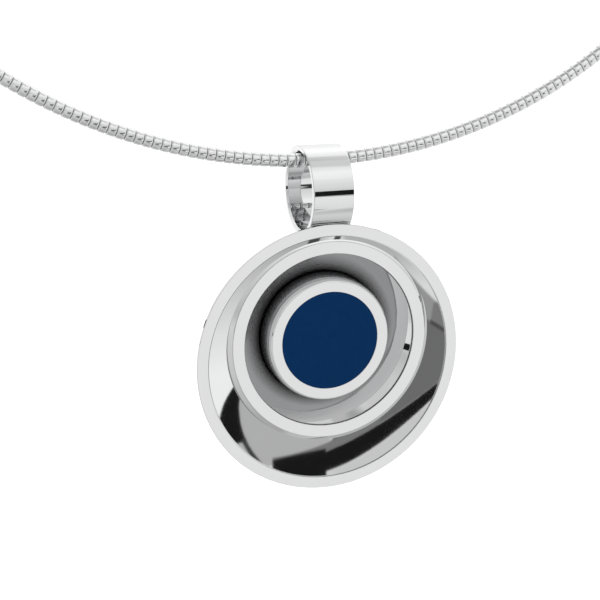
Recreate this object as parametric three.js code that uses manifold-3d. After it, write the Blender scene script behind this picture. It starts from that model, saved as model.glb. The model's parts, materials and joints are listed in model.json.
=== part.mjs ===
// Pendant necklace: a round spring collar of small steel sleeves, closed at the nape by a
// lobster clasp, with a wide ring bail that carries an offset double-dish steel pendant
// and a navy enamel inlay. Millimetres, +Z up, -Y is the front.
// The origin is the nape point, under the middle of the clasp.

import * as THREE from 'three';
import { mergeVertices } from 'three/addons/utils/BufferGeometryUtils.js';
import Module from 'manifold-3d';

const wasm = await Module();
wasm.setup();

// Collar: a circle of sleeves on a core cable, leaning back from upright.
const COLLAR_R = 65.4;                              // radius of the collar's centreline
const COLLAR_LEAN = THREE.MathUtils.degToRad(9.2);
const SLEEVE_R = 0.84;
const SLEEVE_BORE_R = 0.45;
const CABLE_R = 0.3;
const ROWS = 16;                                    // stretches of sleeves along the collar
const ROW_STEPS = 5;                                // straight steps in each stretch
const ROW_GAP = 0.08;                               // seam between two stretches

// Pendant: outer dish, offset bowl, collet and inlay. Depths run back from the front plane.
const DISH_R = 16;
const DISH_LIP_R = 14.67;                           // inner edge of the dish's flat rim
const DISH_SPHERE_R = 70;                           // radius of the dish's hollow
const DISH_WALL = 0.45;
const DISH_INNER_R = 9;                             // the shell starts here, inside the bowl's seat
const RIM_T = 0.4;
const LIP_STEP = 0.3;                               // short drop inside each flat rim
const BOWL_RISE = 2.2;                              // bowl's centre above the dish's centre
const BOWL_R = 11.8;
const BOWL_LIP_R = 10.38;
const BOWL_LIP_SLOPE = THREE.MathUtils.degToRad(49.8);
const BOWL_FOOT_SLOPE = THREE.MathUtils.degToRad(43.1);
const BOWL_FLOOR = 3.35;
const BOWL_BACK = 3.8;
const BOWL_BACK_R = 7.6;                            // the flat of the bowl's back
const BOWL_SHOULDER_R = 8.1;                        // where the back's cone ends
const BOWL_SHOULDER = 3.45;
const BOWL_SKIRT = 1.28;                            // depth of the bowl's outer wall
const BOWL_SKIRT_R = 10.15;                         // inner edge of the skirt's underside
const BOWL_SKIRT_FALL = 0.02;
const COLLET_R = 7.42;
const COLLET_ROUND = 0.39;                          // the top edge is rounded this far inwards
const COLLET_ROUND_DEPTH = 1.6;                     // and this far back
const INLAY_R = 5.78;
const INLAY_T = 0.5;
const INLAY_SINK = 0.02;                            // enamel below the collet's face
const COVER_R = 12.9;
const COVER_WALL = 0.45;
const COVER_CHAMFER = 0.2;
const FIT_GAP = 0.06;                               // clearance between fitted pieces

// Bail: a wide flat ring behind the dish's top edge, hung on the collar.
const BAIL_R = 5.25;
const BAIL_WALL = 0.75;
const BAIL_WIDTH = 4.9;
const BAIL_BEVEL = 0.2;
const BAIL_BACK = 4.8;                              // ring centre behind the front plane
const BAIL_RISE = 19.03;                            // ring centre above the dish's centre
const HANG_GAP = 0.12;                              // running gap between bail and sleeves

// Clasp: end caps, rings and a flat lobster clasp, in a straight line at the nape.
const WIRE_R = 0.35;
const EYE_R = 1.15;
const JUMP_RING_R = 2.0;
const END_RING_R = 2.2;
const LINK_OFFSET = 0.35;                           // eye centre to the wire that passes it
const CAP_R = 1.35;
const CAP_BORE_R = 1.0;
const CAP_LENGTH = 4.8;
const CAP_COVERS = 2.0;                             // length of sleeve inside a cap
const CAP_SPARE = 0.3;                              // bore beyond the last sleeve
const CAP_CHAMFER = 0.1;
const CAP_SHOULDER = 1.3;                           // the taper starts this far before the tip
const CAP_NECK = 0.5;                               // and steepens this far before it
const CAP_NECK_R = 0.75;
const CAP_TIP_R = 0.6;
const CAP_OVERLAP = 0.1;                            // tip running into the eye's wire
const CLASP_T = 1.3;
const CLASP_HALF = 2.2;                             // half width of the clasp's body
const CLASP_NOSE = 9.2;                             // tail-hole centre to the nose
const CLASP_SHOULDER = 2;                           // straight side behind the round nose
const TAIL_R = 1.5;
const TAIL_ANGLE = Math.PI * 0.65;                  // the round of the tail ends this far from +X
const WAIST_X = 1.2;                                // handles of the curve from tail to side
const WAIST_OUT_X = 2.0;
const CLASP_HOLE_R = 0.9;
const WINDOW_START = 3.9;                           // space inside the hook
const WINDOW_END = 8.15;
const WINDOW_HALF = 1.2;
const GATE_START = 3.9;                             // side opening that the trigger closes
const GATE_END = 6.5;
const GATE_EDGE = 0.75;                             // the opening reaches inwards to here
const PIVOT_X = 3.0;
const PIVOT_Y = 1.4;
const CHEEK_SLOT = 0.7;                             // slot between the two cheeks
const CHEEK_START = 1.9;
const CHEEK_REACH = 0.4;                            // the slot runs this far into the gate
const CHEEK_DROP = 0.3;                             // and lies this much deeper than the gate
const TRIGGER_T = 0.55;
const TRIGGER_HUB_R = 0.65;
const TRIGGER_GAP = 0.15;
const ARM_WIDTH = 0.72;
const ARM_DROP = 0.1;                               // arm's middle below the pin
const TAB_LENGTH = 0.7;
const TAB_HEIGHT = 1.7;
const TAB_TOP = 1.9;
const PAD_LENGTH = 0.5;
const PAD_HEIGHT = 0.7;
const PAD_TOP = 2.1;
const PAD_FILL = 0.8;                               // pad's width over the clasp's thickness
const TRIGGER_BORE_R = 0.36;
const PIN_R = 0.3;
const LEAF_T = 0.12;
const LEAF_LENGTH = 0.9;
const LEAF_WIDTH = 0.5;
const HOOK_GAP = 0.2;                               // end ring's wire to the end of the hook

const ROUND = 64;                                   // facets round the large turned pieces
const SLEEVE_FACETS = 12;
const BORE_FACETS = 8;
const CABLE_FACETS = 6;
const CAP_FACETS = 16;
const WIRE_FACETS = 8;
const RING_FACETS = 24;
const ARC_STEPS = 4;
const CUT = 20;                                     // length of a cutter that passes right through

// Distances that follow from the sizes above.
const CHAIN_LIFT = BAIL_R - BAIL_WALL - SLEEVE_R - HANG_GAP;
const RING_X = LINK_OFFSET + JUMP_RING_R;           // left eye centre to jump ring centre
const TAIL_X = RING_X + JUMP_RING_R + LINK_OFFSET;  // left eye centre to clasp tail hole
const HOOKED_X = WINDOW_END - WIRE_R - HOOK_GAP;    // wire of the end ring in the hook
const END_RING_X = TAIL_X + HOOKED_X + END_RING_R;
const EYE_SPAN = END_RING_X + END_RING_R + LINK_OFFSET;
const EYE_ANGLE = Math.PI - Math.asin(EYE_SPAN / 2 / COLLAR_R);
const CAP_ANGLE = EYE_ANGLE - (EYE_R + CAP_LENGTH) / COLLAR_R;
const ARM_ANGLE = CAP_ANGLE + CAP_COVERS / COLLAR_R;
const CLASP_Z = COLLAR_R * (1 - Math.cos(EYE_ANGLE));
const NAPE_Z = CLASP_Z - CLASP_T / 2;
const COVER_BACK = BOWL_BACK + FIT_GAP + COVER_WALL;

const STEEL = { color: 0xdcdedf, roughness: 0.08, metalness: 1 };
const STEEL_SATIN = { color: 0xb9bcbe, roughness: 0.3, metalness: 1 };
const ENAMEL = { color: 0x092c54, roughness: 0.12, metalness: 0 };

function mesh(name, geometry, finish) {
  const piece = new THREE.Mesh(geometry, new THREE.MeshStandardMaterial(finish));
  piece.name = name;
  return piece;
}

// A closed solid for cutting and joining, from a geometry that stays as it is.
function solidOf(geometry) {
  const bare = geometry.clone();
  bare.deleteAttribute('normal');
  bare.deleteAttribute('uv');
  const merged = mergeVertices(bare, 1e-4);
  const corners = merged.index.array;
  const kept = [];
  for (let i = 0; i < corners.length; i += 3) {
    const [a, b, c] = [corners[i], corners[i + 1], corners[i + 2]];
    if (a !== b && b !== c && c !== a) kept.push(a, b, c);
  }
  return new wasm.Manifold(new wasm.Mesh({
    numProp: 3,
    vertProperties: new Float32Array(merged.attributes.position.array),
    triVerts: new Uint32Array(kept),
  }));
}

function geometryOf(solid) {
  const { vertProperties, triVerts } = solid.getMesh();
  const geometry = new THREE.BufferGeometry();
  geometry.setAttribute('position', new THREE.BufferAttribute(vertProperties, 3));
  geometry.setIndex(new THREE.BufferAttribute(triVerts, 1));
  geometry.computeVertexNormals();
  return geometry;
}

// A turned piece about the Y axis. The outline is [radius, y] pairs, closed on itself
// or starting and ending on the axis, listed anticlockwise with y to the right.
function turned(outline, facets = ROUND) {
  const points = outline.map(([r, y]) => new THREE.Vector2(r, y));
  const onAxis = outline[0][0] === 0 && outline.at(-1)[0] === 0;
  if (!onAxis) points.push(points[0].clone());
  return new THREE.LatheGeometry(points, facets);
}

// A rod or drum along Z or Y.
function drum(radius, length, facets, axis = 'z') {
  const geometry = new THREE.CylinderGeometry(radius, radius, length, facets);
  if (axis === 'z') geometry.rotateX(Math.PI / 2);
  return geometry;
}

function circle(radius, facets) {
  const points = [];
  for (let i = 0; i < facets; i++) {
    const angle = (i / facets) * 2 * Math.PI;
    points.push(new THREE.Vector2(radius * Math.cos(angle), radius * Math.sin(angle)));
  }
  return points;
}

// Points of a hollow turned from an arc, between two radii. The arc's centre has a radius of
// its own, and the arc starts below the short drop inside a flat rim.
function hollow(fromR, toR, lipR, arcR, centreR) {
  const lipDepth = Math.sqrt(arcR ** 2 - (lipR - centreR) ** 2);
  const points = [];
  for (let i = 0; i <= ARC_STEPS; i++) {
    const r = fromR + (toR - fromR) * (i / ARC_STEPS);
    points.push([r, LIP_STEP + Math.sqrt(arcR ** 2 - (r - centreR) ** 2) - lipDepth]);
  }
  return points;
}

// ---- Collar -------------------------------------------------------------------------

// The collar's centreline in its own upright plane. Angle 0 is the lowest point.
class CollarArc extends THREE.Curve {
  constructor(start, end) {
    super();
    this.start = start;
    this.end = end;
  }

  getPoint(t, target = new THREE.Vector3()) {
    const angle = this.start + (this.end - this.start) * t;
    return target.set(COLLAR_R * Math.sin(angle), 0, COLLAR_R * (1 - Math.cos(angle)));
  }
}

function alongCollar(section, start, end, steps) {
  const extrudePath = new CollarArc(start, end);
  return new THREE.ExtrudeGeometry(section, { steps, extrudePath, curveSegments: 1 });
}

function sleeveRow(index) {
  const section = new THREE.Shape(circle(SLEEVE_R, SLEEVE_FACETS));
  section.holes.push(new THREE.Path(circle(SLEEVE_BORE_R, BORE_FACETS)));
  const sweep = (2 * ARM_ANGLE) / ROWS;
  const start = -ARM_ANGLE + index * sweep;
  const seam = ROW_GAP / 2 / COLLAR_R;
  return alongCollar(section, start + seam, start + sweep - seam, ROW_STEPS);
}

// A cap with a blind bore for the sleeves and an eye for a ring, along +Y from its mouth.
function endCap() {
  const cup = solidOf(turned([
    [0, CAP_COVERS + CAP_SPARE], [CAP_BORE_R, CAP_COVERS + CAP_SPARE], [CAP_BORE_R, 0],
    [CAP_R - CAP_CHAMFER, 0], [CAP_R, CAP_CHAMFER], [CAP_R, CAP_LENGTH - CAP_SHOULDER],
    [CAP_NECK_R, CAP_LENGTH - CAP_NECK],
    [CAP_TIP_R, CAP_LENGTH + CAP_OVERLAP], [0, CAP_LENGTH + CAP_OVERLAP],
  ], CAP_FACETS));
  const eye = new THREE.TorusGeometry(EYE_R, WIRE_R, WIRE_FACETS, RING_FACETS);
  eye.translate(0, CAP_LENGTH + EYE_R, 0);
  return geometryOf(cup.add(solidOf(eye)));
}

// Places an end cap on the collar: side -1 is the arm with the clasp, +1 the arm with the ring.
function placeCap(cap, side) {
  cap.position.set(
    side * COLLAR_R * Math.sin(CAP_ANGLE),
    0,
    COLLAR_R * (1 - Math.cos(CAP_ANGLE)),
  );
  const chord = (CAP_ANGLE + EYE_ANGLE) / 2;
  const tangent = new THREE.Vector3(side * Math.cos(chord), 0, Math.sin(chord));
  const outward = new THREE.Vector3(side * Math.sin(chord), 0, -Math.cos(chord));
  const across = new THREE.Vector3().crossVectors(tangent, outward);
  cap.setRotationFromMatrix(new THREE.Matrix4().makeBasis(across, tangent, outward));
}

function collarPieces() {
  const collar = new THREE.Group();
  for (let i = 0; i < ROWS; i++) {
    const name = `sleeve_row_${String(i + 1).padStart(2, '0')}`;
    collar.add(mesh(name, sleeveRow(i), STEEL));
  }
  const core = new THREE.Shape(circle(CABLE_R, CABLE_FACETS));
  const cable = alongCollar(core, -ARM_ANGLE, ARM_ANGLE, ROWS * ROW_STEPS);
  collar.add(mesh('core_cable', cable, STEEL_SATIN));
  for (const [name, side] of [['end_cap_left', -1], ['end_cap_right', 1]]) {
    const cap = mesh(name, endCap(), STEEL);
    placeCap(cap, side);
    collar.add(cap);
  }
  return collar;
}

// ---- Clasp --------------------------------------------------------------------------

// The flat outline of the clasp's body: a round tail, a waist and a full nose.
function claspOutline() {
  const outline = new THREE.Shape();
  const noseX = CLASP_NOSE - CLASP_HALF;
  const sideX = noseX - CLASP_SHOULDER;
  outline.absarc(0, 0, TAIL_R, TAIL_ANGLE, 2 * Math.PI - TAIL_ANGLE, false);
  outline.bezierCurveTo(WAIST_X, -TAIL_R, WAIST_OUT_X, -CLASP_HALF, sideX, -CLASP_HALF);
  outline.lineTo(noseX, -CLASP_HALF);
  outline.absarc(noseX, 0, CLASP_HALF, -Math.PI / 2, Math.PI / 2, false);
  outline.lineTo(sideX, CLASP_HALF);
  outline.bezierCurveTo(
    WAIST_OUT_X, CLASP_HALF, WAIST_X, TAIL_R,
    TAIL_R * Math.cos(TAIL_ANGLE), TAIL_R * Math.sin(TAIL_ANGLE),
  );
  return outline;
}

// A block that cuts from one place to another along X, upwards from a height.
function cutBlock(fromX, toX, fromY, thickness) {
  const block = new THREE.BoxGeometry(toX - fromX, CLASP_HALF * 2, thickness);
  block.translate((fromX + toX) / 2, fromY + CLASP_HALF, 0);
  return block;
}

function claspBody() {
  const plate = new THREE.ExtrudeGeometry(claspOutline(), {
    depth: CLASP_T, bevelEnabled: false, curveSegments: 12,
  });
  plate.translate(0, 0, -CLASP_T / 2);

  const tailHole = drum(CLASP_HOLE_R, CLASP_T * 2, 24);

  const slot = new THREE.Shape();
  slot.absarc(WINDOW_END - WINDOW_HALF, 0, WINDOW_HALF, -Math.PI / 2, Math.PI / 2, false);
  slot.absarc(WINDOW_START + WINDOW_HALF, 0, WINDOW_HALF, Math.PI / 2, Math.PI * 1.5, false);
  const window = new THREE.ExtrudeGeometry(slot, {
    depth: CLASP_T * 2, bevelEnabled: false, curveSegments: 12,
  });
  window.translate(0, 0, -CLASP_T);

  const gate = cutBlock(GATE_START, GATE_END, GATE_EDGE, CLASP_T * 2);
  const cheekSlot = cutBlock(
    CHEEK_START, GATE_START + CHEEK_REACH, GATE_EDGE - CHEEK_DROP, CHEEK_SLOT,
  );

  const pinHole = drum(PIN_R + FIT_GAP / 2, CLASP_T * 2, 16);
  pinHole.translate(PIVOT_X, PIVOT_Y, 0);

  return geometryOf([tailHole, window, gate, cheekSlot, pinHole].reduce(
    (body, cut) => body.subtract(solidOf(cut)),
    solidOf(plate),
  ));
}

// The lever that closes the hook: a hub on the pin, an arm to the hook and a thumb tab.
function claspTrigger() {
  const armTip = GATE_END - TRIGGER_GAP - PIVOT_X;
  const arm = new THREE.BoxGeometry(armTip, ARM_WIDTH, TRIGGER_T);
  arm.translate(armTip / 2, -ARM_DROP, 0);
  const tab = new THREE.BoxGeometry(TAB_LENGTH, TAB_HEIGHT, TRIGGER_T);
  tab.translate(-TAB_LENGTH / 2, TAB_TOP - TAB_HEIGHT / 2, 0);
  const pad = new THREE.BoxGeometry(PAD_LENGTH, PAD_HEIGHT, CLASP_T * PAD_FILL);
  pad.translate(-TAB_LENGTH / 2, PAD_TOP - PAD_HEIGHT / 2, 0);
  const bore = solidOf(drum(TRIGGER_BORE_R, CLASP_T, 16));
  return geometryOf(
    solidOf(drum(TRIGGER_HUB_R, TRIGGER_T, 24))
      .add(solidOf(arm))
      .add(solidOf(tab))
      .add(solidOf(pad))
      .subtract(bore),
  );
}

// The small leaf spring that lies in the cheek slot against the back of the trigger's hub.
function triggerSpring() {
  const leaf = new THREE.BoxGeometry(LEAF_T, LEAF_LENGTH, LEAF_WIDTH);
  leaf.translate(CHEEK_START + LEAF_T, PIVOT_Y - ARM_DROP, 0);
  return leaf;
}

// A ring lying in the collar's own plane, which links two eyes that lie across it.
function linkRing(radius) {
  const ring = new THREE.TorusGeometry(radius, WIRE_R, WIRE_FACETS, RING_FACETS);
  ring.rotateX(Math.PI / 2);
  return ring;
}

function claspPieces() {
  const line = new THREE.Group();
  line.position.set(-EYE_SPAN / 2, 0, CLASP_Z);

  const jumpRing = mesh('jump_ring', linkRing(JUMP_RING_R), STEEL);
  jumpRing.position.x = RING_X;
  const endRing = mesh('end_ring', linkRing(END_RING_R), STEEL);
  endRing.position.x = END_RING_X;

  const clasp = new THREE.Group();
  clasp.position.x = TAIL_X;
  const trigger = mesh('clasp_trigger', claspTrigger(), STEEL);
  trigger.position.set(PIVOT_X, PIVOT_Y, 0);
  const pin = mesh('trigger_pin', drum(PIN_R, CLASP_T - FIT_GAP, 16), STEEL_SATIN);
  pin.position.copy(trigger.position);
  clasp.add(mesh('clasp_body', claspBody(), STEEL), trigger, pin);
  clasp.add(mesh('trigger_spring', triggerSpring(), STEEL_SATIN));

  line.add(jumpRing, endRing, clasp);
  return line;
}

// ---- Bail and pendant ---------------------------------------------------------------

function bail() {
  const half = BAIL_WIDTH / 2;
  const inner = BAIL_R - BAIL_WALL;
  const ring = turned([
    [inner + BAIL_BEVEL, -half], [BAIL_R, -half], [BAIL_R, half],
    [inner + BAIL_BEVEL, half], [inner, half - BAIL_BEVEL], [inner, -half + BAIL_BEVEL],
  ]);
  ring.rotateZ(Math.PI / 2);
  return ring;
}

// The dish's hollow is spherical: its arc is centred on the axis.
function dish() {
  const front = hollow(DISH_INNER_R, DISH_LIP_R, DISH_LIP_R, DISH_SPHERE_R, 0);
  const back = hollow(DISH_LIP_R, DISH_INNER_R, DISH_LIP_R, DISH_SPHERE_R, 0)
    .map(([r, y]) => [r, y + DISH_WALL]);
  const shell = turned([
    ...front, [DISH_LIP_R, 0], [DISH_R, 0], [DISH_R, RIM_T],
    [DISH_LIP_R + DISH_WALL, RIM_T], ...back,
  ]);
  const seat = drum(BOWL_R + FIT_GAP, CUT, ROUND, 'y');
  seat.translate(0, 0, BOWL_RISE);
  return geometryOf(solidOf(shell).subtract(solidOf(seat)));
}

// The bowl's wall is nearly a cone: a long arc with one slope at the lip and one at the foot.
function bowl() {
  const footR = COLLET_R + FIT_GAP;
  const lipSine = Math.sin(BOWL_LIP_SLOPE);
  const arcR = (BOWL_LIP_R - footR) / (lipSine - Math.sin(BOWL_FOOT_SLOPE));
  const centreR = BOWL_LIP_R - arcR * lipSine;
  return turned([
    [0, BOWL_FLOOR],
    ...hollow(footR, BOWL_LIP_R, BOWL_LIP_R, arcR, centreR),
    [BOWL_LIP_R, 0], [BOWL_R, 0], [BOWL_R, BOWL_SKIRT],
    [BOWL_SKIRT_R, BOWL_SKIRT + BOWL_SKIRT_FALL], [BOWL_SHOULDER_R, BOWL_SHOULDER],
    [BOWL_BACK_R, BOWL_BACK], [0, BOWL_BACK],
  ]);
}

// The collet holds the inlay in a shallow seat. Its outer top edge is an elliptical round.
function collet() {
  const recess = INLAY_T + FIT_GAP;
  const edge = [];
  for (let i = 0; i <= ARC_STEPS; i++) {
    const angle = (i / ARC_STEPS) * (Math.PI / 2);
    edge.push([
      COLLET_R - COLLET_ROUND * (1 - Math.sin(angle)),
      COLLET_ROUND_DEPTH * (1 - Math.cos(angle)),
    ]);
  }
  return turned([
    [0, recess], [INLAY_R + FIT_GAP, recess], [INLAY_R + FIT_GAP, 0],
    ...edge, [COLLET_R, BOWL_FLOOR - FIT_GAP], [0, BOWL_FLOOR - FIT_GAP],
  ]);
}

function inlay() {
  return turned([[0, INLAY_SINK], [INLAY_R, INLAY_SINK], [INLAY_R, INLAY_T], [0, INLAY_T]]);
}

// A shallow cup that closes the pendant's back over the bowl.
function backCover() {
  const inner = COVER_R - COVER_WALL;
  const lip = BOWL_SKIRT + FIT_GAP + BOWL_SKIRT_FALL;
  return turned([
    [0, COVER_BACK - COVER_WALL], [inner, COVER_BACK - COVER_WALL], [inner, lip],
    [COVER_R, lip], [COVER_R, COVER_BACK - COVER_CHAMFER],
    [COVER_R - COVER_CHAMFER, COVER_BACK], [0, COVER_BACK],
  ]);
}

function pendantPieces() {
  const pendant = new THREE.Group();
  pendant.position.set(0, -BAIL_BACK, -BAIL_RISE - CHAIN_LIFT);

  const ring = mesh('bail', bail(), STEEL);
  ring.position.set(0, BAIL_BACK, BAIL_RISE);

  const nested = new THREE.Group();
  nested.position.z = BOWL_RISE;
  nested.add(mesh('bowl', bowl(), STEEL));
  nested.add(mesh('collet', collet(), STEEL));
  nested.add(mesh('enamel_inlay', inlay(), ENAMEL));

  pendant.add(ring, nested, mesh('dish', dish(), STEEL));
  pendant.add(mesh('back_cover', backCover(), STEEL_SATIN));
  return pendant;
}

// ---- Necklace -----------------------------------------------------------------------

const upright = new THREE.Group();
upright.rotation.x = -COLLAR_LEAN;
upright.add(collarPieces(), claspPieces());

const frontPoint = new THREE.Group();
frontPoint.position.set(0, -NAPE_Z * Math.sin(COLLAR_LEAN), -NAPE_Z * Math.cos(COLLAR_LEAN));
frontPoint.add(upright, pendantPieces());

const necklace = new THREE.Group();
necklace.add(frontPoint);

export default necklace;
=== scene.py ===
"""The visual model of the pendant necklace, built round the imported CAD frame.

A collar of small steel sleeves closes at the nape with a lobster clasp and carries a wide
ring bail. The pendant is an offset double dish of polished steel with a navy enamel inlay.
Everything is in metres in the part's own frame: +Z up, -Y is the front.
"""

import json
import math

import bmesh
import bpy
from mathutils import Matrix, Vector


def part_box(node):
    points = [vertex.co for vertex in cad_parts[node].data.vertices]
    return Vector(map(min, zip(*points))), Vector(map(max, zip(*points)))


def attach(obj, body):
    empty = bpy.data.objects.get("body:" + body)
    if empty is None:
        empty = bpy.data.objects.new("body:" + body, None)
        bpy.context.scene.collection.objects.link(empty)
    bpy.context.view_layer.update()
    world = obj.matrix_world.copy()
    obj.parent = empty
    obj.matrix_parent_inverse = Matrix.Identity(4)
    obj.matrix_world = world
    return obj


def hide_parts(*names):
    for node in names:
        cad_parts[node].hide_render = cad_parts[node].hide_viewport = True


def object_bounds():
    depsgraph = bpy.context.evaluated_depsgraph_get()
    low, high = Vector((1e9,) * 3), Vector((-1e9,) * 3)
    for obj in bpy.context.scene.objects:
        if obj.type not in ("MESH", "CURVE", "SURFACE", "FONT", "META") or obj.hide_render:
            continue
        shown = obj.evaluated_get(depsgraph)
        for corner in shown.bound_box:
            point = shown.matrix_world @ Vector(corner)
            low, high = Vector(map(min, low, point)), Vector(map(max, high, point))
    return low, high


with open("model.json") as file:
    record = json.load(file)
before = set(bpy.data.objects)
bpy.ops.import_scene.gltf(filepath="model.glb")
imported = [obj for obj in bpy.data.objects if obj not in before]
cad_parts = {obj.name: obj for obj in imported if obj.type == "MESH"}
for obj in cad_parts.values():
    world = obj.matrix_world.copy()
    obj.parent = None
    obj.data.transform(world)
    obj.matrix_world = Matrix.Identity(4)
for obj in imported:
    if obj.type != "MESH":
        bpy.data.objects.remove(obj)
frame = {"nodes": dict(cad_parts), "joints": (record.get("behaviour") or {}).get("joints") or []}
CAD_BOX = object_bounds()

MM = 0.001
X_AXIS = Vector((1, 0, 0))
Y_AXIS = Vector((0, 1, 0))

# ---- Sizes ----------------------------------------------------------------------------

COLLAR_R = 65.4 * MM
SLEEVE_R = 0.825 * MM
SLEEVE_BORE_R = 0.45 * MM
SLEEVE_PITCH = 1.0626 * MM
SLEEVE_GAP = 0.014 * MM
SLEEVE_ROUND = 0.19 * MM                # rounding of the ends
SLEEVE_CROWN = 0.004 * MM               # the middle stands this far above the ends' rounding
SLEEVE_END = 0.1 * MM                   # width of the flat end inside the rounding
SLEEVE_PHASE = 0.2 * MM                 # distance of the first joint from the front point
ROWS = 16

DISH_R = 16.0 * MM
DISH_LIP_R = 14.67 * MM
DISH_SPHERE_R = 70.0 * MM
DISH_WALL = 0.45 * MM
RIM_T = 0.4 * MM
LIP_STEP = 0.3 * MM
DISH_STEP = 0.12 * MM                   # depth of the dish's hollow where it meets the groove
GROOVE_WIDTH = 0.09 * MM                # the fine groove inside the dish's flat rim
BOWL_R = 11.8 * MM
FILLET_DROP = 0.1 * MM                  # the seam's fillet starts this far down the bowl's wall
FILLET_REACH = 0.5 * MM
FILLET_FALL = 0.34 * MM
BOWL_LIP_R = 10.38 * MM
BOWL_LIP_SLOPE = math.radians(49.8)
BOWL_FOOT_SLOPE = math.radians(43.1)
BOWL_FLOOR = 3.35 * MM
BOWL_BACK = 3.8 * MM
BOWL_SHOULDER_R = 8.1 * MM
BOWL_SHOULDER = 3.45 * MM
BOWL_BACK_R = 7.6 * MM
BOWL_SKIRT_R = 10.15 * MM
BOWL_SKIRT = 1.28 * MM
BOWL_SKIRT_FALL = 0.02 * MM             # the skirt's underside falls inwards by this much
SKIRT_EDGE = 0.1 * MM
COLLET_R = 7.42 * MM
COLLET_ROUND = 0.39 * MM                # the top edge is rounded this far inwards
COLLET_ROUND_DEPTH = 1.6 * MM           # and this far back
PAINTED_SHADE_R = 7.5 * MM                  # painted shade darkens the bowl inside this radius
PAINTED_SHADE_DEPTH = 2.55 * MM             # and painted shade darkens the collet's wall from about this depth
INLAY_R = 5.78 * MM
INLAY_T = 0.5 * MM
INLAY_SINK = 0.03 * MM                  # the enamel's middle lies this far below the collet
INLAY_EDGE_SINK = 0.008 * MM            # its edge is drawn up to this depth
INLAY_WALL_SINK = 0.02 * MM             # and meets the collet's wall at this one
COVER_R = 12.9 * MM
COVER_WALL = 0.45 * MM
COVER_ROUND = 0.25 * MM
COVER_LIP_GAP = 0.08 * MM               # the cover's lip stays this far behind the skirt
FIT_GAP = 0.06 * MM
COVER_BACK = BOWL_BACK + FIT_GAP + COVER_WALL
SEAT_OVERLAP = 0.02 * MM                # the dish runs this far into the bowl's wall
FINE_STEP = 0.01 * MM                   # support width and groove step on the dish's rim

BAIL_R = 5.25 * MM
BAIL_WALL = 0.75 * MM
BAIL_WIDTH = 4.9 * MM
BAIL_BEVEL = 0.2 * MM
BAIL_EDGE = 0.09 * MM                   # rounding of the outer edges

SOLDER_INSET = 0.25 * MM                # the solder stops this far from the bail's sides
SOLDER_START = 0.12 * MM                # and this far inside the dish's outer edge
SOLDER_REACH = 1.5 * MM                 # how far it runs down the dish's back
SOLDER_HEIGHT = 0.25 * MM
SOLDER_SINK = 0.03 * MM                 # it runs this far into both pieces

WIRE_R = 0.35 * MM
EYE_R = 1.15 * MM
JUMP_RING_R = 2.0 * MM
END_RING_R = 2.2 * MM
LINK_OFFSET = 0.35 * MM
CAP_R = 1.35 * MM
CAP_BORE_R = 1.0 * MM
CAP_LENGTH = 4.8 * MM
CAP_COVERS = 2.0 * MM                   # length of sleeve inside the cap
CAP_SPARE = 0.3 * MM                    # the bore goes this far past the last sleeve
CAP_SHOULDER = 1.3 * MM                 # the cap narrows over this length
CAP_SHOULDER_R = 0.75 * MM
CAP_NECK = 0.5 * MM                     # length of the neck before the eye
CAP_NECK_R = 0.6 * MM
CAP_IN_EYE = 0.1 * MM                   # the neck runs this far into the eye's wire
CAP_LIP_ROUND = 0.12 * MM
CAP_SHOULDER_ROUND = 0.4 * MM
CAP_NECK_ROUND = 0.2 * MM
CLASP_EDGE = 0.07 * MM                  # rounding of the clasp's edges
TRIGGER_EDGE = 0.05 * MM

EDGE = 0.05 * MM                        # the softened edge of the turned pieces
FLOOR_GAP = 2.5 * MM                    # the pendant hangs this far above the floor
FLOOR_R = 6.0

# Points round each turned piece.
SLEEVE_SIDES = 28
CAP_SIDES = 40
DISH_SIDES = 224
BOWL_SIDES = 192
INLAY_SIDES = 144
COVER_SIDES = 160
BAIL_SIDES = 160

# ---- Places, from the frame -----------------------------------------------------------

JOINTS = {joint["name"]: joint for joint in frame["joints"]}


def joint_place(name):
    return Vector(JOINTS[name]["pos_m"])


def face_centre(node):
    """The middle of a turned pendant piece, on its front plane."""
    low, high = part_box(node)
    return Vector(((low.x + high.x) / 2, low.y, (low.z + high.z) / 2))


COLLAR_CENTRE = joint_place("pendant_slide")
COLLAR_NORMAL = Vector(JOINTS["pendant_slide"]["axis"]).normalized()
COLLAR_UP = X_AXIS.cross(COLLAR_NORMAL)
BAIL_CENTRE = joint_place("pendant_swing")
DISH_CENTRE = face_centre("dish")
BOWL_CENTRE = face_centre("bowl")
BOWL_RISE = BOWL_CENTRE.z - DISH_CENTRE.z

EYE_REACH = abs(joint_place("jump_ring_roll").x) + JUMP_RING_R + LINK_OFFSET
EYE_ANGLE = math.pi - math.asin(EYE_REACH / COLLAR_R)
CAP_ANGLE = EYE_ANGLE - (EYE_R + CAP_LENGTH) / COLLAR_R
ARM_ANGLE = CAP_ANGLE + CAP_COVERS / COLLAR_R

# ---- Camera ---------------------------------------------------------------------------

CAMERA_AZIMUTH = math.radians(-19.295)
CAMERA_ELEVATION = math.radians(16.245)
CAMERA_ROLL = math.radians(0.871)
CAMERA_DISTANCE = 206.45 * MM
CAMERA_RIGHT = -3.469 * MM              # the view's middle, right of and above the dish's centre
CAMERA_ABOVE = 6.803 * MM
CAMERA_LENS = 106.73


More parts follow.
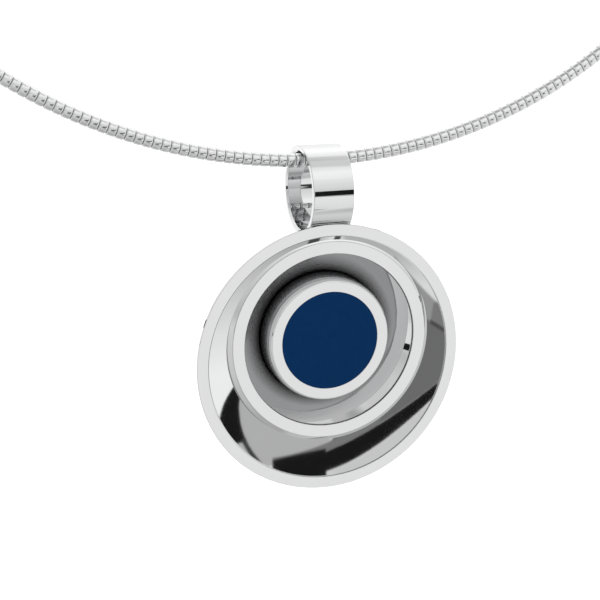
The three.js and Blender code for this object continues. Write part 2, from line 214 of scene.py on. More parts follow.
def make_camera():
    """The camera's place is set from the dish, in its own right and up directions."""
    back = Vector((
        math.sin(CAMERA_AZIMUTH) * math.cos(CAMERA_ELEVATION),
        -math.cos(CAMERA_AZIMUTH) * math.cos(CAMERA_ELEVATION),
        math.sin(CAMERA_ELEVATION),
    ))
    level_right = Vector((math.cos(CAMERA_AZIMUTH), math.sin(CAMERA_AZIMUTH), 0))
    level_up = back.cross(level_right)
    cos, sin = math.cos(CAMERA_ROLL), math.sin(CAMERA_ROLL)
    right = cos * level_right + sin * level_up
    up = cos * level_up - sin * level_right
    data = bpy.data.cameras.new("camera")
    data.lens = CAMERA_LENS
    data.sensor_width = 36
    data.clip_start = 0.01
    camera = bpy.data.objects.new("camera", data)
    bpy.context.scene.collection.objects.link(camera)
    place = DISH_CENTRE + back * CAMERA_DISTANCE + right * CAMERA_RIGHT + up * CAMERA_ABOVE
    turn = Matrix((right, up, back)).transposed().to_4x4()
    camera.matrix_world = Matrix.Translation(place) @ turn
    bpy.context.scene.camera = camera


# ---- Shader arithmetic ----------------------------------------------------------------


class Term:
    """A value in a shader tree that takes arithmetic."""

    def __init__(self, tree, value):
        self.tree = tree
        self.value = value

    def math(self, operation, *others, clamp=False):
        node = self.tree.nodes.new("ShaderNodeMath")
        node.operation = operation
        node.use_clamp = clamp
        for socket, term in zip(node.inputs, (self, *others)):
            value = term.value if isinstance(term, Term) else term
            if isinstance(value, bpy.types.NodeSocket):
                self.tree.links.new(value, socket)
            else:
                socket.default_value = value
        return Term(self.tree, node.outputs[0])

    def __add__(self, other):
        return self.math("ADD", other)

    def __radd__(self, other):
        return self.math("ADD", other)

    def __sub__(self, other):
        return self.math("SUBTRACT", other)

    def __rsub__(self, other):
        return Term(self.tree, other).math("SUBTRACT", self)

    def __mul__(self, other):
        return self.math("MULTIPLY", other)

    def __rmul__(self, other):
        return self.math("MULTIPLY", other)

    def __truediv__(self, other):
        return self.math("DIVIDE", other)

    def above(self, edge, soft):
        """0 below the edge, 1 above it, over a soft width."""
        return ((self - edge) / soft).math("ADD", 0.5, clamp=True)

    def below(self, edge, soft):
        return 1 - self.above(edge, soft)

    def between(self, low, high, soft):
        return self.above(low, soft) * self.below(high, soft)


def mixed(level, card, value):
    """The level, with the value in its place where the card's mask is 1."""
    return level + card * (value - level)


def ramp(tree, factor, stops, interpolation="LINEAR"):
    """A grey value from (position, grey) stops."""
    node = tree.nodes.new("ShaderNodeValToRGB")
    node.color_ramp.interpolation = interpolation
    elements = node.color_ramp.elements
    while len(elements) < len(stops):
        elements.new(0.5)
    for element, (position, grey) in zip(elements, stops):
        element.position = position
        element.color = (grey, grey, grey, 1)
    tree.links.new(factor.value, node.inputs["Fac"])
    return Term(tree, node.outputs["Color"])


# ---- Studio ---------------------------------------------------------------------------

# Brightness of the white studio by elevation in degrees, front side.
STUDIO_LEVELS = [
    (-90, 0.60), (-70, 0.67), (-50, 0.82), (-33, 0.95), (-14, 1.0), (-5, 1.05),
    (6, 0.80), (20, 0.92), (30, 1.0), (40, 1.13), (50, 1.17), (62, 1.03), (72, 0.60), (90, 0.5),
]
# How the brightness changes round the studio, by azimuth in degrees.
STUDIO_SIDES = [
    (-180, 1.15), (-70, 0.78), (-20, 0.76), (14, 1.0), (60, 1.0), (110, 1.12), (180, 1.15),
]
STUDIO_TOP = 1.25                       # a ramp's white stands for this brightness
STUDIO_GAIN = 1.24                      # brings the polished flats to a light grey
BLACK = 0.012
DARK_GREY = 0.19
MID_GREY = 0.38
LIGHT_GREY = 0.56
SHARP, PLAIN = 0.3, 0.4                 # softness of a card's edges, in degrees
CARD_DEPTH = 2.5                        # rays deeper than this see the bare walls

# Soft patches on the walls: the azimuths and the elevations, each as from, to and softness
# in degrees, and the brightness.
WALL_PATCHES = [
    ((26, 50, 3), (-45, -29, 12), 0.54),        # towards the floor, right of the middle
    ((-6, 22.5, 1), (-45, -31, 6), 0.56),       # and left of it
    ((33, 42, 2), (-20, -9, 5), 1.12),          # a lighter stretch at the right
    ((-66, -45, 6), (24, 62, 8), 0.75),         # dimmer walls high up on the left
    ((48, 92, 8), (46, 75, 8), 0.8),            # and on the right
    ((-84, -64, 6), (-26, -6, 6), 0.95),        # lighter low down at the far left
]

# Black blocks with level and upright edges, in the same form.
BLACK_BLOCKS = [
    ((18.9, 28, SHARP), (-3.3, 7.7, PLAIN)),    # closes the arch's right end
    ((-78, -60, PLAIN), (-6, 0, PLAIN)),        # stands by itself at the left
]

# The arched card's edges: the azimuth of the highest point, its elevation, and the bend.
ARCH_INNER = (25, -2.2, 0.0165)
ARCH_OUTER = (21, 0.3, 0.025)


def curve(azimuth, middle, top, bend):
    """The elevation of an arched edge that is highest at the middle azimuth."""
    reach = azimuth - middle
    return reach * reach * -bend + top


def by_angle(tree, angle, whole, stops):
    """Brightness from stops over an angle that runs from -whole / 2 to whole / 2 degrees."""
    half = whole / 2
    spaced = [((degrees + half) / whole, value / STUDIO_TOP) for degrees, value in stops]
    return ramp(tree, (angle + half) / whole, spaced, "EASE") * STUDIO_TOP


def grey_cards(level, azimuth, elevation, inner):
    """Grey cards in front, low down. They lie below the arch's inner edge."""
    low = azimuth * -0.7 + 8.0
    card = elevation.between(low, -2.5, PLAIN) * azimuth.between(12, 34, PLAIN)
    level = mixed(level, card, LIGHT_GREY)

    low = azimuth * -0.85 - 23.0
    card = azimuth.between(-6, 12, PLAIN) * elevation.between(low, -21, PLAIN)
    level = mixed(level, card, MID_GREY)
    card = azimuth.between(-6, 3.2, SHARP) * elevation.between(-25.3, -20.5, PLAIN)
    level = mixed(level, card, 0.25)

    # The large card at the left has a slanting lower edge and a slit along it.
    slant = azimuth * 0.6
    card = azimuth.between(-6, elevation * 0.6 + 20.6, PLAIN)
    card = card * elevation.between(azimuth * -0.6 - 20.2, inner, SHARP)
    level = mixed(level, card, DARK_GREY)
    card = azimuth.between(-1, 3.2, SHARP) * (elevation + slant).between(-20.5, -19.8, SHARP)
    level = mixed(level, card, 0.09)

    card = azimuth.between(10, 28, PLAIN) * elevation.between(inner - 1.3, inner, SHARP)
    return mixed(level, card, 0.24)


def black_leaf(level, azimuth, elevation):
    """A black leaf at the right, with a thin stalk above it."""
    rise = elevation + 13
    left = 34 - rise * rise * 0.045
    rise = elevation + 10.5
    right = 37.4 - rise * rise * 0.085
    card = azimuth.between(left, right, SHARP) * elevation.between(-18, -7, SHARP)
    level = mixed(level, card, BLACK)
    stalk = azimuth.between(left, left + 0.8, SHARP) * elevation.between(-7.5, -3, SHARP)
    return mixed(level, stalk, 0.05)


def black_cards(level, azimuth, elevation, inner, outer):
    """The arched black card, the blocks and the dark strips along the horizon."""
    arch = elevation.between(inner, outer, SHARP) * azimuth.between(0.5, 28, 0.5)
    level = mixed(level, arch, BLACK)
    for azimuths, elevations in BLACK_BLOCKS:
        block = elevation.between(*elevations) * azimuth.between(*azimuths)
        level = mixed(level, block, BLACK)
    strip = elevation.between(-4.5, -1.5, PLAIN)
    level = mixed(level, strip * azimuth.below(-75, 0.5), BLACK)
    level = mixed(level, strip * azimuth.above(60, 0.5), BLACK)
    marks = azimuth.between(23, 24.2, 0.2) + azimuth.between(26.8, 28.8, 0.2)
    return mixed(level, marks * elevation.between(-38, -35, SHARP), 0.08)


def studio_level(tree, azimuth, elevation, first):
    """White walls, and where first is 1 a few black and grey cards in front of them."""
    walls = by_angle(tree, elevation, 180, STUDIO_LEVELS)
    walls = walls * by_angle(tree, azimuth, 360, STUDIO_SIDES)
    inner = curve(azimuth, *ARCH_INNER)
    outer = curve(azimuth, *ARCH_OUTER)
    level = walls
    for azimuths, elevations, value in WALL_PATCHES:
        level = mixed(level, azimuth.between(*azimuths) * elevation.between(*elevations), value)
    above_arch = azimuth.between(0, 19, 4) * elevation.between(outer, 6, 1)
    level = mixed(level, above_arch, 0.74)
    level = grey_cards(level, azimuth, elevation, inner)
    level = black_leaf(level, azimuth, elevation)
    level = black_cards(level, azimuth, elevation, inner, outer)
    return mixed(walls, first, level)


def make_studio():
    """A white studio with a few cards, worked out from the direction of each ray."""
    world = bpy.data.worlds.new("studio")
    bpy.context.scene.world = world
    world.use_nodes = True
    tree = world.node_tree
    tree.nodes.clear()
    direction = tree.nodes.new("ShaderNodeTexCoord")
    parts = tree.nodes.new("ShaderNodeSeparateXYZ")
    tree.links.new(direction.outputs["Generated"], parts.inputs[0])
    x, y, z = (Term(tree, socket) for socket in parts.outputs)
    azimuth = x.math("ARCTAN2", 0 - y) * math.degrees(1)
    elevation = z.math("ARCSINE") * math.degrees(1)
    path = tree.nodes.new("ShaderNodeLightPath")
    # The cards show only in first reflections, never straight to the camera.
    reflected = 1 - Term(tree, path.outputs["Is Camera Ray"])
    first = Term(tree, path.outputs["Ray Depth"]).below(CARD_DEPTH, 0.5) * reflected
    background = tree.nodes.new("ShaderNodeBackground")
    level = studio_level(tree, azimuth, elevation, first)
    tree.links.new(level.value, background.inputs["Color"])
    background.inputs["Strength"].default_value = STUDIO_GAIN
    output = tree.nodes.new("ShaderNodeOutputWorld")
    tree.links.new(background.outputs[0], output.inputs["Surface"])


def make_floor():
    """A plain white floor that the steel does not reflect."""
    mesh = bpy.data.meshes.new("floor")
    shape = bmesh.new()
    bmesh.ops.create_circle(shape, cap_ends=True, radius=FLOOR_R, segments=96)
    shape.to_mesh(mesh)
    shape.free()
    floor = bpy.data.objects.new("floor", mesh)
    bpy.context.scene.collection.objects.link(floor)
    floor.location = (0, 0, CAD_BOX[0].z - FLOOR_GAP)
    material, shader, _ = new_material("floor_white")
    shader.inputs["Base Color"].default_value = (0.9, 0.9, 0.9, 1)
    shader.inputs["Roughness"].default_value = 0.9
    shader.inputs["Specular IOR Level"].default_value = 0
    shader.inputs["Emission Color"].default_value = (1, 1, 1, 1)
    shader.inputs["Emission Strength"].default_value = 0.35
    mesh.materials.append(material)
    floor.visible_glossy = False


# ---- Materials ------------------------------------------------------------------------


def new_material(name):
    material = bpy.data.materials.new(name)
    material.use_nodes = True
    tree = material.node_tree
    shader = tree.nodes["Principled BSDF"]
    return material, shader, tree


def object_place(tree, stretch=(1, 1, 1)):
    coordinates = tree.nodes.new("ShaderNodeTexCoord")
    mapping = tree.nodes.new("ShaderNodeMapping")
    mapping.inputs["Scale"].default_value = stretch
    tree.links.new(coordinates.outputs["Object"], mapping.inputs["Vector"])
    return mapping.outputs["Vector"]


def noise(tree, place, scale, detail=3.0, roughness=0.5):
    node = tree.nodes.new("ShaderNodeTexNoise")
    node.inputs["Scale"].default_value = scale
    node.inputs["Detail"].default_value = detail
    node.inputs["Roughness"].default_value = roughness
    tree.links.new(place, node.inputs["Vector"])
    return Term(tree, node.outputs["Fac"])


def bump(tree, shader, height, distance, strength=1.0):
    node = tree.nodes.new("ShaderNodeBump")
    node.inputs["Distance"].default_value = distance
    node.inputs["Strength"].default_value = strength
    tree.links.new(height.value, node.inputs["Height"])
    tree.links.new(node.outputs["Normal"], shader.inputs["Normal"])


def tinted(tree, shader, factor, dark, light):
    """The base colour runs from dark to light with the factor."""
    node = tree.nodes.new("ShaderNodeMix")
    node.data_type = "RGBA"
    node.inputs["A"].default_value = (*dark, 1)
    node.inputs["B"].default_value = (*light, 1)
    tree.links.new(factor.value, node.inputs["Factor"])
    tree.links.new(node.outputs["Result"], shader.inputs["Base Color"])


STEEL_DARK = (0.585, 0.587, 0.591)
STEEL_LIGHT = (0.616, 0.617, 0.620)
SATIN_DARK = (0.50, 0.505, 0.515)
SATIN_LIGHT = (0.66, 0.665, 0.67)
# Colour and roughness of the shade painted into the bowl's floor and the collet's foot.
PAINTED_SHADE_COLOUR = (0.006, 0.006, 0.0065)
PAINTED_SHADE_ROUGHNESS = 0.45
NAVY_DARK = (0.0012, 0.0180, 0.066)
NAVY_LIGHT = (0.0020, 0.0255, 0.090)
POLISH_BUMP = 0.0004 * MM
SPUN_BUMP = 0.004 * MM
ENAMEL_BUMP = 0.003 * MM


def polished_steel(name, roughness, marks):
    """Mirror-polished steel: a faint cloud in the polish, and hairline marks."""
    material, shader, tree = new_material(name)
    shader.inputs["Metallic"].default_value = 1
    cloud = noise(tree, object_place(tree), 220, 3)
    tinted(tree, shader, cloud, STEEL_DARK, STEEL_LIGHT)
    hair = noise(tree, object_place(tree, (30, 900, 120)), 60, 2)
    cross = noise(tree, object_place(tree, (900, 40, 700)), 45, 2)
    fine = hair * cross
    tree.links.new((cloud * (roughness * 0.8) + fine * marks + roughness * 0.4).value,
                   shader.inputs["Roughness"])
    bump(tree, shader, noise(tree, object_place(tree), 900, 2), POLISH_BUMP, 0.6)
    return material


def steel_with_painted_shade(name, painted_shade_mask):
    """Mirror-polished steel with painted shade: near black where a mask of radius and depth is 1.
    """
    material = polished_steel(name, 0.03, 0.02)
    tree = material.node_tree
    shader = tree.nodes["Principled BSDF"]
    coordinates = tree.nodes.new("ShaderNodeTexCoord")
    parts = tree.nodes.new("ShaderNodeSeparateXYZ")
    tree.links.new(coordinates.outputs["Object"], parts.inputs[0])
    x, y, z = (Term(tree, socket) / MM for socket in parts.outputs)
    z = z - BOWL_CENTRE.z / MM
    radius = (x * x + z * z).math("SQRT")
    # The mask says where shade is painted onto the steel.
    black = painted_shade_mask(radius, y - BOWL_CENTRE.y / MM)
    for socket, value in (("Base Color", PAINTED_SHADE_COLOUR), ("Roughness", (PAINTED_SHADE_ROUGHNESS,) * 3)):
        polished = shader.inputs[socket].links[0].from_socket
        node = tree.nodes.new("ShaderNodeMix")
        node.data_type = "RGBA"
        tree.links.new(polished, node.inputs["A"])
        node.inputs["B"].default_value = (*value, 1)
        tree.links.new(black.value, node.inputs["Factor"])
        tree.links.new(node.outputs["Result"], shader.inputs[socket])
    return material


def painted_shade_on_floor(radius, depth):
    """Painted shade on the bowl inside the shaded radius, with a sharp edge."""
    return radius.below(PAINTED_SHADE_R / MM, 0.04)


def painted_shade_on_foot(radius, depth):
    """Painted shade on the collet's wall, darkening softly towards its foot."""
    return depth.above(PAINTED_SHADE_DEPTH / MM, 1.6)


def satin_steel(name):
    """Steel with a satin finish spun about the pendant's axis."""
    material, shader, tree = new_material(name)
    shader.inputs["Metallic"].default_value = 1
    coordinates = tree.nodes.new("ShaderNodeTexCoord")
    parts = tree.nodes.new("ShaderNodeSeparateXYZ")
    tree.links.new(coordinates.outputs["Object"], parts.inputs[0])
    x, _, z = (Term(tree, socket) for socket in parts.outputs)
    z = z - BOWL_CENTRE.z
    radius = (x * x + z * z).math("SQRT")
    sweep = x.math("ARCTAN2", z)
    rings = tree.nodes.new("ShaderNodeCombineXYZ")
    tree.links.new((radius * 9000).value, rings.inputs["X"])
    tree.links.new((sweep * 1.5).value, rings.inputs["Y"])
    spun = noise(tree, rings.outputs[0], 1.0, 4, 0.6)
    cloud = noise(tree, object_place(tree), 160, 3)
    tinted(tree, shader, spun * 0.6 + cloud * 0.4, SATIN_DARK, SATIN_LIGHT)
    tree.links.new((spun * 0.16 + cloud * 0.06 + 0.2).value, shader.inputs["Roughness"])
    bump(tree, shader, spun, SPUN_BUMP, 0.5)
    return material


def navy_enamel():
    """Hard navy enamel: faint mottling, a few pinholes and a soft gloss."""
    material, shader, tree = new_material("navy_enamel")
    mottle = noise(tree, object_place(tree), 700, 4)
    grain = noise(tree, object_place(tree), 5200, 2)
    tinted(tree, shader, mottle * 0.75 + grain * 0.25, NAVY_DARK, NAVY_LIGHT)
    tree.links.new((mottle * 0.12 + 0.22).value, shader.inputs["Roughness"])
    shader.inputs["Specular IOR Level"].default_value = 0.02
    pits = grain.above(0.72, 0.1)
    bump(tree, shader, mottle * 0.5 - pits * 0.5, ENAMEL_BUMP, 0.4)
    return material


# ---- Mesh code ------------------------------------------------------------------------


def add_piece(name, points, faces, material, body, replaced=()):
    mesh = bpy.data.meshes.new(name)
    mesh.from_pydata(points, [], faces)
    mesh.validate()
    shape = bmesh.new()
    shape.from_mesh(mesh)
    bmesh.ops.recalc_face_normals(shape, faces=shape.faces)
    shape.to_mesh(mesh)
    shape.free()
    mesh.shade_smooth()
    mesh.materials.append(material)
    piece = bpy.data.objects.new(name, mesh)
    bpy.context.scene.collection.objects.link(piece)
    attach(piece, body)
    if replaced:
        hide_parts(*replaced)
    return piece


def rounded(corners, steps=4):
    """An outline of (radius, depth) points from corners that are (radius, depth, round)."""
    outline = []
    count = len(corners)
    for i, (r, h, size) in enumerate(corners):
        here = Vector((r, h))
        if not size:
            outline.append(here)
            continue
        before = Vector(corners[i - 1][:2])
        after = Vector(corners[(i + 1) % count][:2])
        into = (before - here).normalized()
        out = (after - here).normalized()
        half = into.angle(out) / 2
        shorter = min((before - here).length, (after - here).length)
        reach = min(size / math.tan(half), shorter * 0.45)
        radius = reach * math.tan(half)
        middle = here + (into + out).normalized() * (radius / math.sin(half))
        start = here + into * reach - middle
        end = here + out * reach - middle
        sweep = start.angle_signed(end)
        for k in range(steps + 1):
            turn = -sweep * k / steps
            cos, sin = math.cos(turn), math.sin(turn)
            turned_start = (start.x * cos - start.y * sin, start.x * sin + start.y * cos)
            outline.append(middle + Vector(turned_start))
    return outline


def supported(outline, margin=0.03 * MM, closed=True):
    """Adds points near both ends of each long straight run, so that shading stays crisp."""
    points = []
    count = len(outline)
    for i in range(count if closed else count - 1):
        here, after = outline[i], outline[(i + 1) % count]
        points.append(here)
        length = (after - here).length
        if length > 5 * margin:
            points.append(here.lerp(after, margin / length))
            points.append(here.lerp(after, 1 - margin / length))
    if not closed:
        points.append(outline[-1])
    return points


def turned(outline, centre, axis, across, segments):
    """Points and faces of an outline of (radius, depth) turned about an axis. Points on the
    axis become poles."""
    other = axis.cross(across)
    points, rings = [], []
    for r, h in outline:
        if r < 1e-7:
            rings.append([len(points)])
            points.append(centre + axis * h)
            continue
        rings.append(list(range(len(points), len(points) + segments)))
        for k in range(segments):
            angle = 2 * math.pi * k / segments
            outward = across * math.cos(angle) + other * math.sin(angle)
            points.append(centre + axis * h + outward * r)
    faces = []
    closed = len(rings[0]) > 1
    for i in range(len(rings) if closed else len(rings) - 1):
        faces.extend(bridged(rings[i], rings[(i + 1) % len(rings)]))
    return points, faces


def bridged(a, b):
    """Faces between two rings of point numbers, either of which may be a pole."""
    count = max(len(a), len(b))
    faces = []
    for k in range(count):
        n = (k + 1) % count
        if len(a) == 1:
            faces.append((a[0], b[k], b[n]))
        elif len(b) == 1:
            faces.append((a[k], b[0], a[n]))
        else:
            faces.append((a[k], b[k], b[n], a[n]))
    return faces


def hollow_depth(r, lip_r, lip_depth, arc_r, centre_r=0.0):
    """Depth of a hollow turned from an arc that starts at a flat rim's inner edge."""
    lip_reach = math.sqrt(arc_r ** 2 - (lip_r - centre_r) ** 2)
    return lip_depth + math.sqrt(arc_r ** 2 - (r - centre_r) ** 2) - lip_reach


def dish_depth(r):
    return hollow_depth(min(r, DISH_LIP_R), DISH_LIP_R, DISH_STEP, DISH_SPHERE_R)


def softened(node, name, material, body, width):
    """A CAD node's shape with its flat faces joined and its edges rounded."""
    mesh = frame["nodes"][node].data.copy()
    mesh.name = name
    shape = bmesh.new()
    shape.from_mesh(mesh)
    bmesh.ops.remove_doubles(shape, verts=shape.verts, dist=1e-6)
    bmesh.ops.dissolve_limit(
        shape, angle_limit=math.radians(1), verts=shape.verts, edges=shape.edges,
    )
    shape.to_mesh(mesh)
    shape.free()
    mesh.materials.clear()
    mesh.materials.append(material)
    mesh.shade_smooth()
    piece = bpy.data.objects.new(name, mesh)
    bpy.context.scene.collection.objects.link(piece)
    edges = piece.modifiers.new("edges", "BEVEL")
    edges.width = width
    edges.segments = 3
    edges.limit_method = "ANGLE"
    edges.angle_limit = math.radians(35)
    edges.harden_normals = True
    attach(piece, body)
    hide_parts(node)
    return piece


# ---- Collar ---------------------------------------------------------------------------


def sleeve_outline():
    """(radius, distance along) of one sleeve: a short barrel with round ends and a bore."""
    half = (SLEEVE_PITCH - SLEEVE_GAP) / 2
    outline = [(SLEEVE_BORE_R, -half), (SLEEVE_R - SLEEVE_ROUND - SLEEVE_END, -half)]
    steps = 5
    for k in range(steps + 1):
        angle = math.pi / 2 * k / steps
        outline.append((
            SLEEVE_R - SLEEVE_CROWN - SLEEVE_ROUND * (1 - math.sin(angle)),
            -half + SLEEVE_ROUND * (1 - math.cos(angle)),
        ))
    outline.append((SLEEVE_R, 0))
    for r, along in reversed(outline[:-1]):
        outline.append((r, -along))
    return outline


def collar_point(angle):
    return COLLAR_CENTRE + (X_AXIS * math.sin(angle) - COLLAR_UP * math.cos(angle)) * COLLAR_R


def collar_tangent(angle):
    return X_AXIS * math.cos(angle) + COLLAR_UP * math.sin(angle)


def make_sleeves(material):
    """Sleeve after sleeve round the collar, joined into the CAD's rows."""
    outline = sleeve_outline()
    reach = ARM_ANGLE * COLLAR_R
    first = math.ceil((-reach - SLEEVE_PHASE) / SLEEVE_PITCH)
    last = math.floor((reach - SLEEVE_PHASE) / SLEEVE_PITCH)
    count = last - first
    rows = [([], []) for _ in range(ROWS)]
    for i in range(count):
        angle = (SLEEVE_PHASE + (first + i + 0.5) * SLEEVE_PITCH) / COLLAR_R
        points, faces = turned(
            outline, collar_point(angle), collar_tangent(angle), COLLAR_NORMAL, SLEEVE_SIDES,
        )
        row_points, row_faces = rows[i * ROWS // count]
        base = len(row_points)
        row_points.extend(points)
        row_faces.extend(tuple(base + k for k in face) for face in faces)
    for number, (points, faces) in enumerate(rows, 1):
        name = f"{number:02d}"
        add_piece(f"sleeves_{name}", points, faces, material, "collar", [f"sleeve_row_{name}"])


def make_end_cap(side, name, material):
    """A turned cup over the sleeves with a round eye, on the collar's line."""
    mouth = collar_point(side * CAP_ANGLE)
    chord = side * (CAP_ANGLE + EYE_ANGLE) / 2
    along = collar_tangent(chord) * side
    outward = (collar_point(chord) - COLLAR_CENTRE).normalized()
    bore_end = CAP_COVERS + CAP_SPARE
    neck_end = CAP_LENGTH + CAP_IN_EYE
    corners = [
        (0, bore_end, 0), (CAP_BORE_R, bore_end, 0), (CAP_BORE_R, 0, EDGE),
        (CAP_R, 0, CAP_LIP_ROUND), (CAP_R, CAP_LENGTH - CAP_SHOULDER, CAP_SHOULDER_ROUND),
        (CAP_SHOULDER_R, CAP_LENGTH - CAP_NECK, CAP_NECK_ROUND), (CAP_NECK_R, neck_end, 0),
        (0, neck_end, 0),
    ]
    outline = supported(rounded(corners), closed=False)
    points, faces = turned(outline, mouth, along, outward, CAP_SIDES)
    eye_centre = mouth + along * (CAP_LENGTH + EYE_R)
    eye_points, eye_faces = ring_mesh(eye_centre, outward, along, EYE_R, WIRE_R)
    base = len(points)
    points += eye_points
    faces += [tuple(base + k for k in face) for face in eye_faces]
    add_piece(f"cap_{name}", points, faces, material, "collar", [f"end_cap_{name}"])


def ring_mesh(centre, axis, across, ring_r, wire_r, around=56, section=20):
    """A round ring of round wire."""
    outline = []
    for k in range(section):
        angle = 2 * math.pi * k / section
        outline.append((ring_r + wire_r * math.cos(angle), wire_r * math.sin(angle)))
    return turned(outline, centre, axis, across, around)


# ---- Pendant --------------------------------------------------------------------------


def make_dish(material):
    """The outer dish: a flat rim and a fine groove round a spherical hollow, open where the
    bowl passes through."""
    hole_r = BOWL_R - SEAT_OVERLAP
    start_r = DISH_LIP_R - GROOVE_WIDTH
    steps = 20
    rim = supported(rounded([
        (start_r, LIP_STEP, 0), (DISH_LIP_R, LIP_STEP, 0), (DISH_LIP_R, 0, EDGE), (DISH_R, 0, EDGE),
        (DISH_R, RIM_T, EDGE), (DISH_LIP_R + DISH_WALL, RIM_T, 0.1 * MM),
        (DISH_LIP_R + DISH_WALL * 0.9, RIM_T + 0.2 * MM, 0),
    ]), FINE_STEP, closed=False)
    across = [i / steps for i in range(steps)] + [1 - 0.004, 1]
    points, sections = [], []
    for k in range(DISH_SIDES):
        angle = 2 * math.pi * k / DISH_SIDES
        cos, sin = math.cos(angle), math.sin(angle)
        hole = Vector((hole_r * cos, BOWL_RISE + hole_r * sin))
        start = Vector((start_r * cos, start_r * sin))
        back_lip = Vector((cos, sin)) * (DISH_LIP_R + DISH_WALL * 0.6)
        loop = []
        for part in across:
            flat = hole.lerp(start, part)
            loop.append((flat, dish_depth(flat.length)))
        loop.append((start, dish_depth(start_r) + FINE_STEP))
        for r, h in rim:
            loop.append((Vector((r * cos, r * sin)), h))
        for i in range(8):
            flat = back_lip.lerp(hole, i / 7)
            loop.append((flat, dish_depth(flat.length) + DISH_WALL + LIP_STEP - DISH_STEP))
        sections.append(list(range(len(points), len(points) + len(loop))))
        points.extend(DISH_CENTRE + Vector((flat.x, depth, flat.y)) for flat, depth in loop)
    faces = []
    for k in range(DISH_SIDES):
        faces.extend(bridged(sections[k], sections[(k + 1) % DISH_SIDES]))
    add_piece("outer_dish", points, faces, material, "pendant", ["dish"])


def make_bowl(material):
    """The inner bowl: a flat lip, a nearly conical wall and a skirt that seats in the dish."""
    lip_sine = math.sin(BOWL_LIP_SLOPE)
    foot_r = COLLET_R + FIT_GAP
    arc_r = (BOWL_LIP_R - foot_r) / (lip_sine - math.sin(BOWL_FOOT_SLOPE))
    centre_r = BOWL_LIP_R - arc_r * lip_sine
    steps = 36
    inside = []
    for i in range(steps + 1):
        r = foot_r + (BOWL_LIP_R - foot_r) * i / steps
        inside.append((r, hollow_depth(r, BOWL_LIP_R, LIP_STEP, arc_r, centre_r), 0))
    corners = [
        (0, BOWL_FLOOR, 0), *inside,
        (BOWL_LIP_R, 0, EDGE), (BOWL_R, 0, EDGE), (BOWL_R, FILLET_DROP, 0),
        (BOWL_R + FILLET_REACH, FILLET_DROP + FILLET_FALL, 0), (BOWL_R, BOWL_SKIRT, SKIRT_EDGE),
        (BOWL_SKIRT_R, BOWL_SKIRT + BOWL_SKIRT_FALL, 0), (BOWL_SHOULDER_R, BOWL_SHOULDER, 0),
        (BOWL_BACK_R, BOWL_BACK, 0), (0, BOWL_BACK, 0),
    ]
    outline = supported(rounded(corners), closed=False)
    points, faces = turned(outline, BOWL_CENTRE, Y_AXIS, X_AXIS, BOWL_SIDES)
    add_piece("inner_bowl", points, faces, material, "pendant", ["bowl"])


def make_collet(material):
    """The raised setting: a seat for the enamel and an elliptically rounded outer edge."""
    recess = INLAY_T + FIT_GAP
    wall_r = INLAY_R + FIT_GAP
    steps = 16
    edge = []
    for i in range(steps + 1):
        angle = math.pi / 2 * i / steps
        edge.append((
            COLLET_R - COLLET_ROUND * (1 - math.sin(angle)),
            COLLET_ROUND_DEPTH * (1 - math.cos(angle)), 0,
        ))
    corners = [
        (0, recess, 0), (wall_r, recess, 0), (wall_r, 0, 0.03 * MM), *edge,
        (COLLET_R, BOWL_FLOOR - FIT_GAP, 0.05 * MM), (0, BOWL_FLOOR - FIT_GAP, 0),
    ]
    outline = supported(rounded(corners), closed=False)
    points, faces = turned(outline, BOWL_CENTRE, Y_AXIS, X_AXIS, BOWL_SIDES)
    add_piece("inlay_collet", points, faces, material, "pendant", ["collet"])


def make_inlay(material):
    """Enamel poured level with the collet, drawn up a little where it meets the wall."""
    wall_r = INLAY_R + FIT_GAP * 0.9
    corners = [
        (0, INLAY_SINK, 0), (INLAY_R * 0.5, INLAY_SINK, 0),
        (INLAY_R * 0.9, INLAY_SINK * 0.9, 0), (INLAY_R * 0.98, INLAY_SINK * 0.5, 0),
        (INLAY_R, INLAY_EDGE_SINK, 0), (wall_r, INLAY_WALL_SINK, 0),
        (wall_r, INLAY_T, 0), (0, INLAY_T, 0),
    ]
    points, faces = turned(rounded(corners), BOWL_CENTRE, Y_AXIS, X_AXIS, INLAY_SIDES)
    add_piece("inlay_enamel", points, faces, material, "pendant", ["enamel_inlay"])


def make_cover(material):
    """The flat cover that closes the pendant's back."""
    inner = COVER_R - COVER_WALL
    lip = BOWL_SKIRT + COVER_LIP_GAP
    corners = [
        (0, COVER_BACK - COVER_WALL, 0), (inner, COVER_BACK - COVER_WALL, 0), (inner, lip, EDGE),
        (COVER_R, lip, EDGE), (COVER_R, COVER_BACK, COVER_ROUND), (0, COVER_BACK, 0),
    ]
    outline = supported(rounded(corners), closed=False)
    points, faces = turned(outline, DISH_CENTRE, Y_AXIS, X_AXIS, COVER_SIDES)
    add_piece("rear_cover", points, faces, material, "pendant", ["back_cover"])


def make_bail(material):
    """The wide flat ring, bevelled along the inside."""
    half = BAIL_WIDTH / 2
    inner = BAIL_R - BAIL_WALL
    corners = [
        (inner + BAIL_BEVEL, -half, EDGE), (BAIL_R, -half, BAIL_EDGE), (BAIL_R, half, BAIL_EDGE),
        (inner + BAIL_BEVEL, half, EDGE), (inner, half - BAIL_BEVEL, EDGE),
        (inner, BAIL_BEVEL - half, EDGE),
    ]
    points, faces = turned(supported(rounded(corners)), BAIL_CENTRE, X_AXIS, Y_AXIS, BAIL_SIDES)
    add_piece("ring_bail", points, faces, material, "bail", ["bail"])


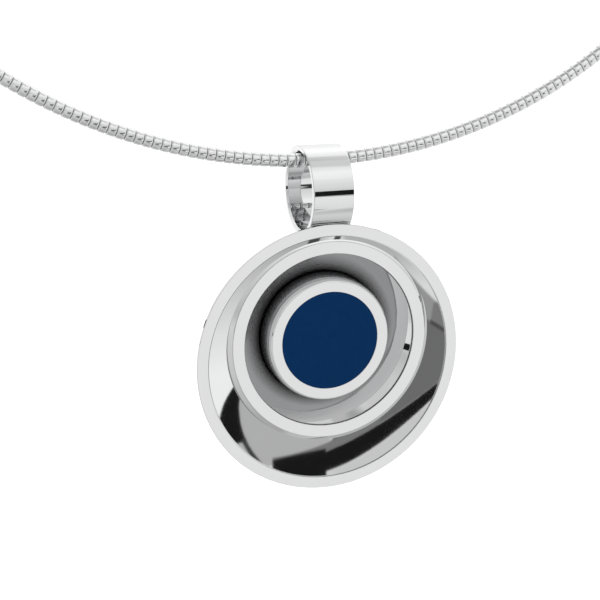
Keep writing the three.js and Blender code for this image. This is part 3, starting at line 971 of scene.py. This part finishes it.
def make_solder(material):
    """The solder seam between the bail and the back of the dish's rim."""
    half = BAIL_WIDTH / 2 - SOLDER_INSET
    across, along = 24, 8
    rise = BAIL_CENTRE.z - DISH_CENTRE.z
    back = BAIL_CENTRE.y - DISH_CENTRE.y
    points, sections = [], []
    for i in range(across + 1):
        x = half * (2 * i / across - 1)
        swell = math.sqrt(max(0.0, 1 - (x / (half * 1.04)) ** 2)) ** 0.4
        loop = []
        for k in range(along + 1):
            r = DISH_R - SOLDER_START - (SOLDER_REACH * swell) * k / along
            depth = RIM_T - SOLDER_SINK + max(0.0, DISH_LIP_R + DISH_WALL - r) * 0.35
            loop.append((depth, math.sqrt(r * r - x * x)))
        bottom = loop[-1][1]
        top = loop[0][1]
        for k in range(along + 1):
            z = bottom + (top - bottom) * k / along + SOLDER_HEIGHT * swell * (1 - k / along)
            ring = back - math.sqrt(max(0.0, (BAIL_R - SOLDER_SINK) ** 2 - (z - rise) ** 2))
            loop.append((max(ring, RIM_T), z))
        sections.append(list(range(len(points), len(points) + len(loop))))
        points.extend(DISH_CENTRE + Vector((x, depth, z)) for depth, z in loop)
    faces = [tuple(sections[0]), tuple(reversed(sections[-1]))]
    for a, b in zip(sections, sections[1:]):
        faces.extend(bridged(a, b))
    add_piece("bail_solder", points, faces, material, "pendant")


# ---- Nape -----------------------------------------------------------------------------


def make_link_rings(material):
    for name, radius in (("jump_ring", JUMP_RING_R), ("end_ring", END_RING_R)):
        centre = joint_place(f"{name}_roll")
        points, faces = ring_mesh(centre, COLLAR_NORMAL, X_AXIS, radius, WIRE_R)
        add_piece(f"{name}_wire", points, faces, material, name, [name])


def make_clasp(steel, satin):
    """The lobster clasp. Its pin and spring, and the core cable, stay as the CAD has them."""
    softened("clasp_body", "clasp_shell", steel, "clasp", CLASP_EDGE)
    softened("clasp_trigger", "trigger_lever", steel, "trigger", TRIGGER_EDGE)
    for node in ("trigger_pin", "trigger_spring", "core_cable"):
        mesh = frame["nodes"][node].data
        mesh.materials.clear()
        mesh.materials.append(satin)


# ---- Build ----------------------------------------------------------------------------

make_camera()
bpy.context.scene.view_settings.view_transform = "Standard"
make_studio()
make_floor()

mirror = polished_steel("mirror_steel", 0.03, 0.02)
chain_steel = polished_steel("sleeve_steel", 0.06, 0.05)
satin = satin_steel("spun_satin_steel")

make_sleeves(chain_steel)
make_end_cap(-1, "left", mirror)
make_end_cap(1, "right", mirror)
make_dish(mirror)
# The bowl's floor and the collet's foot get shade painted into their steel.
make_bowl(steel_with_painted_shade("bowl_steel_painted_shade", painted_shade_on_floor))
make_collet(steel_with_painted_shade("collet_steel_painted_shade", painted_shade_on_foot))
make_inlay(navy_enamel())
make_cover(satin)
make_bail(mirror)
make_solder(mirror)
make_link_rings(mirror)
make_clasp(mirror, satin)
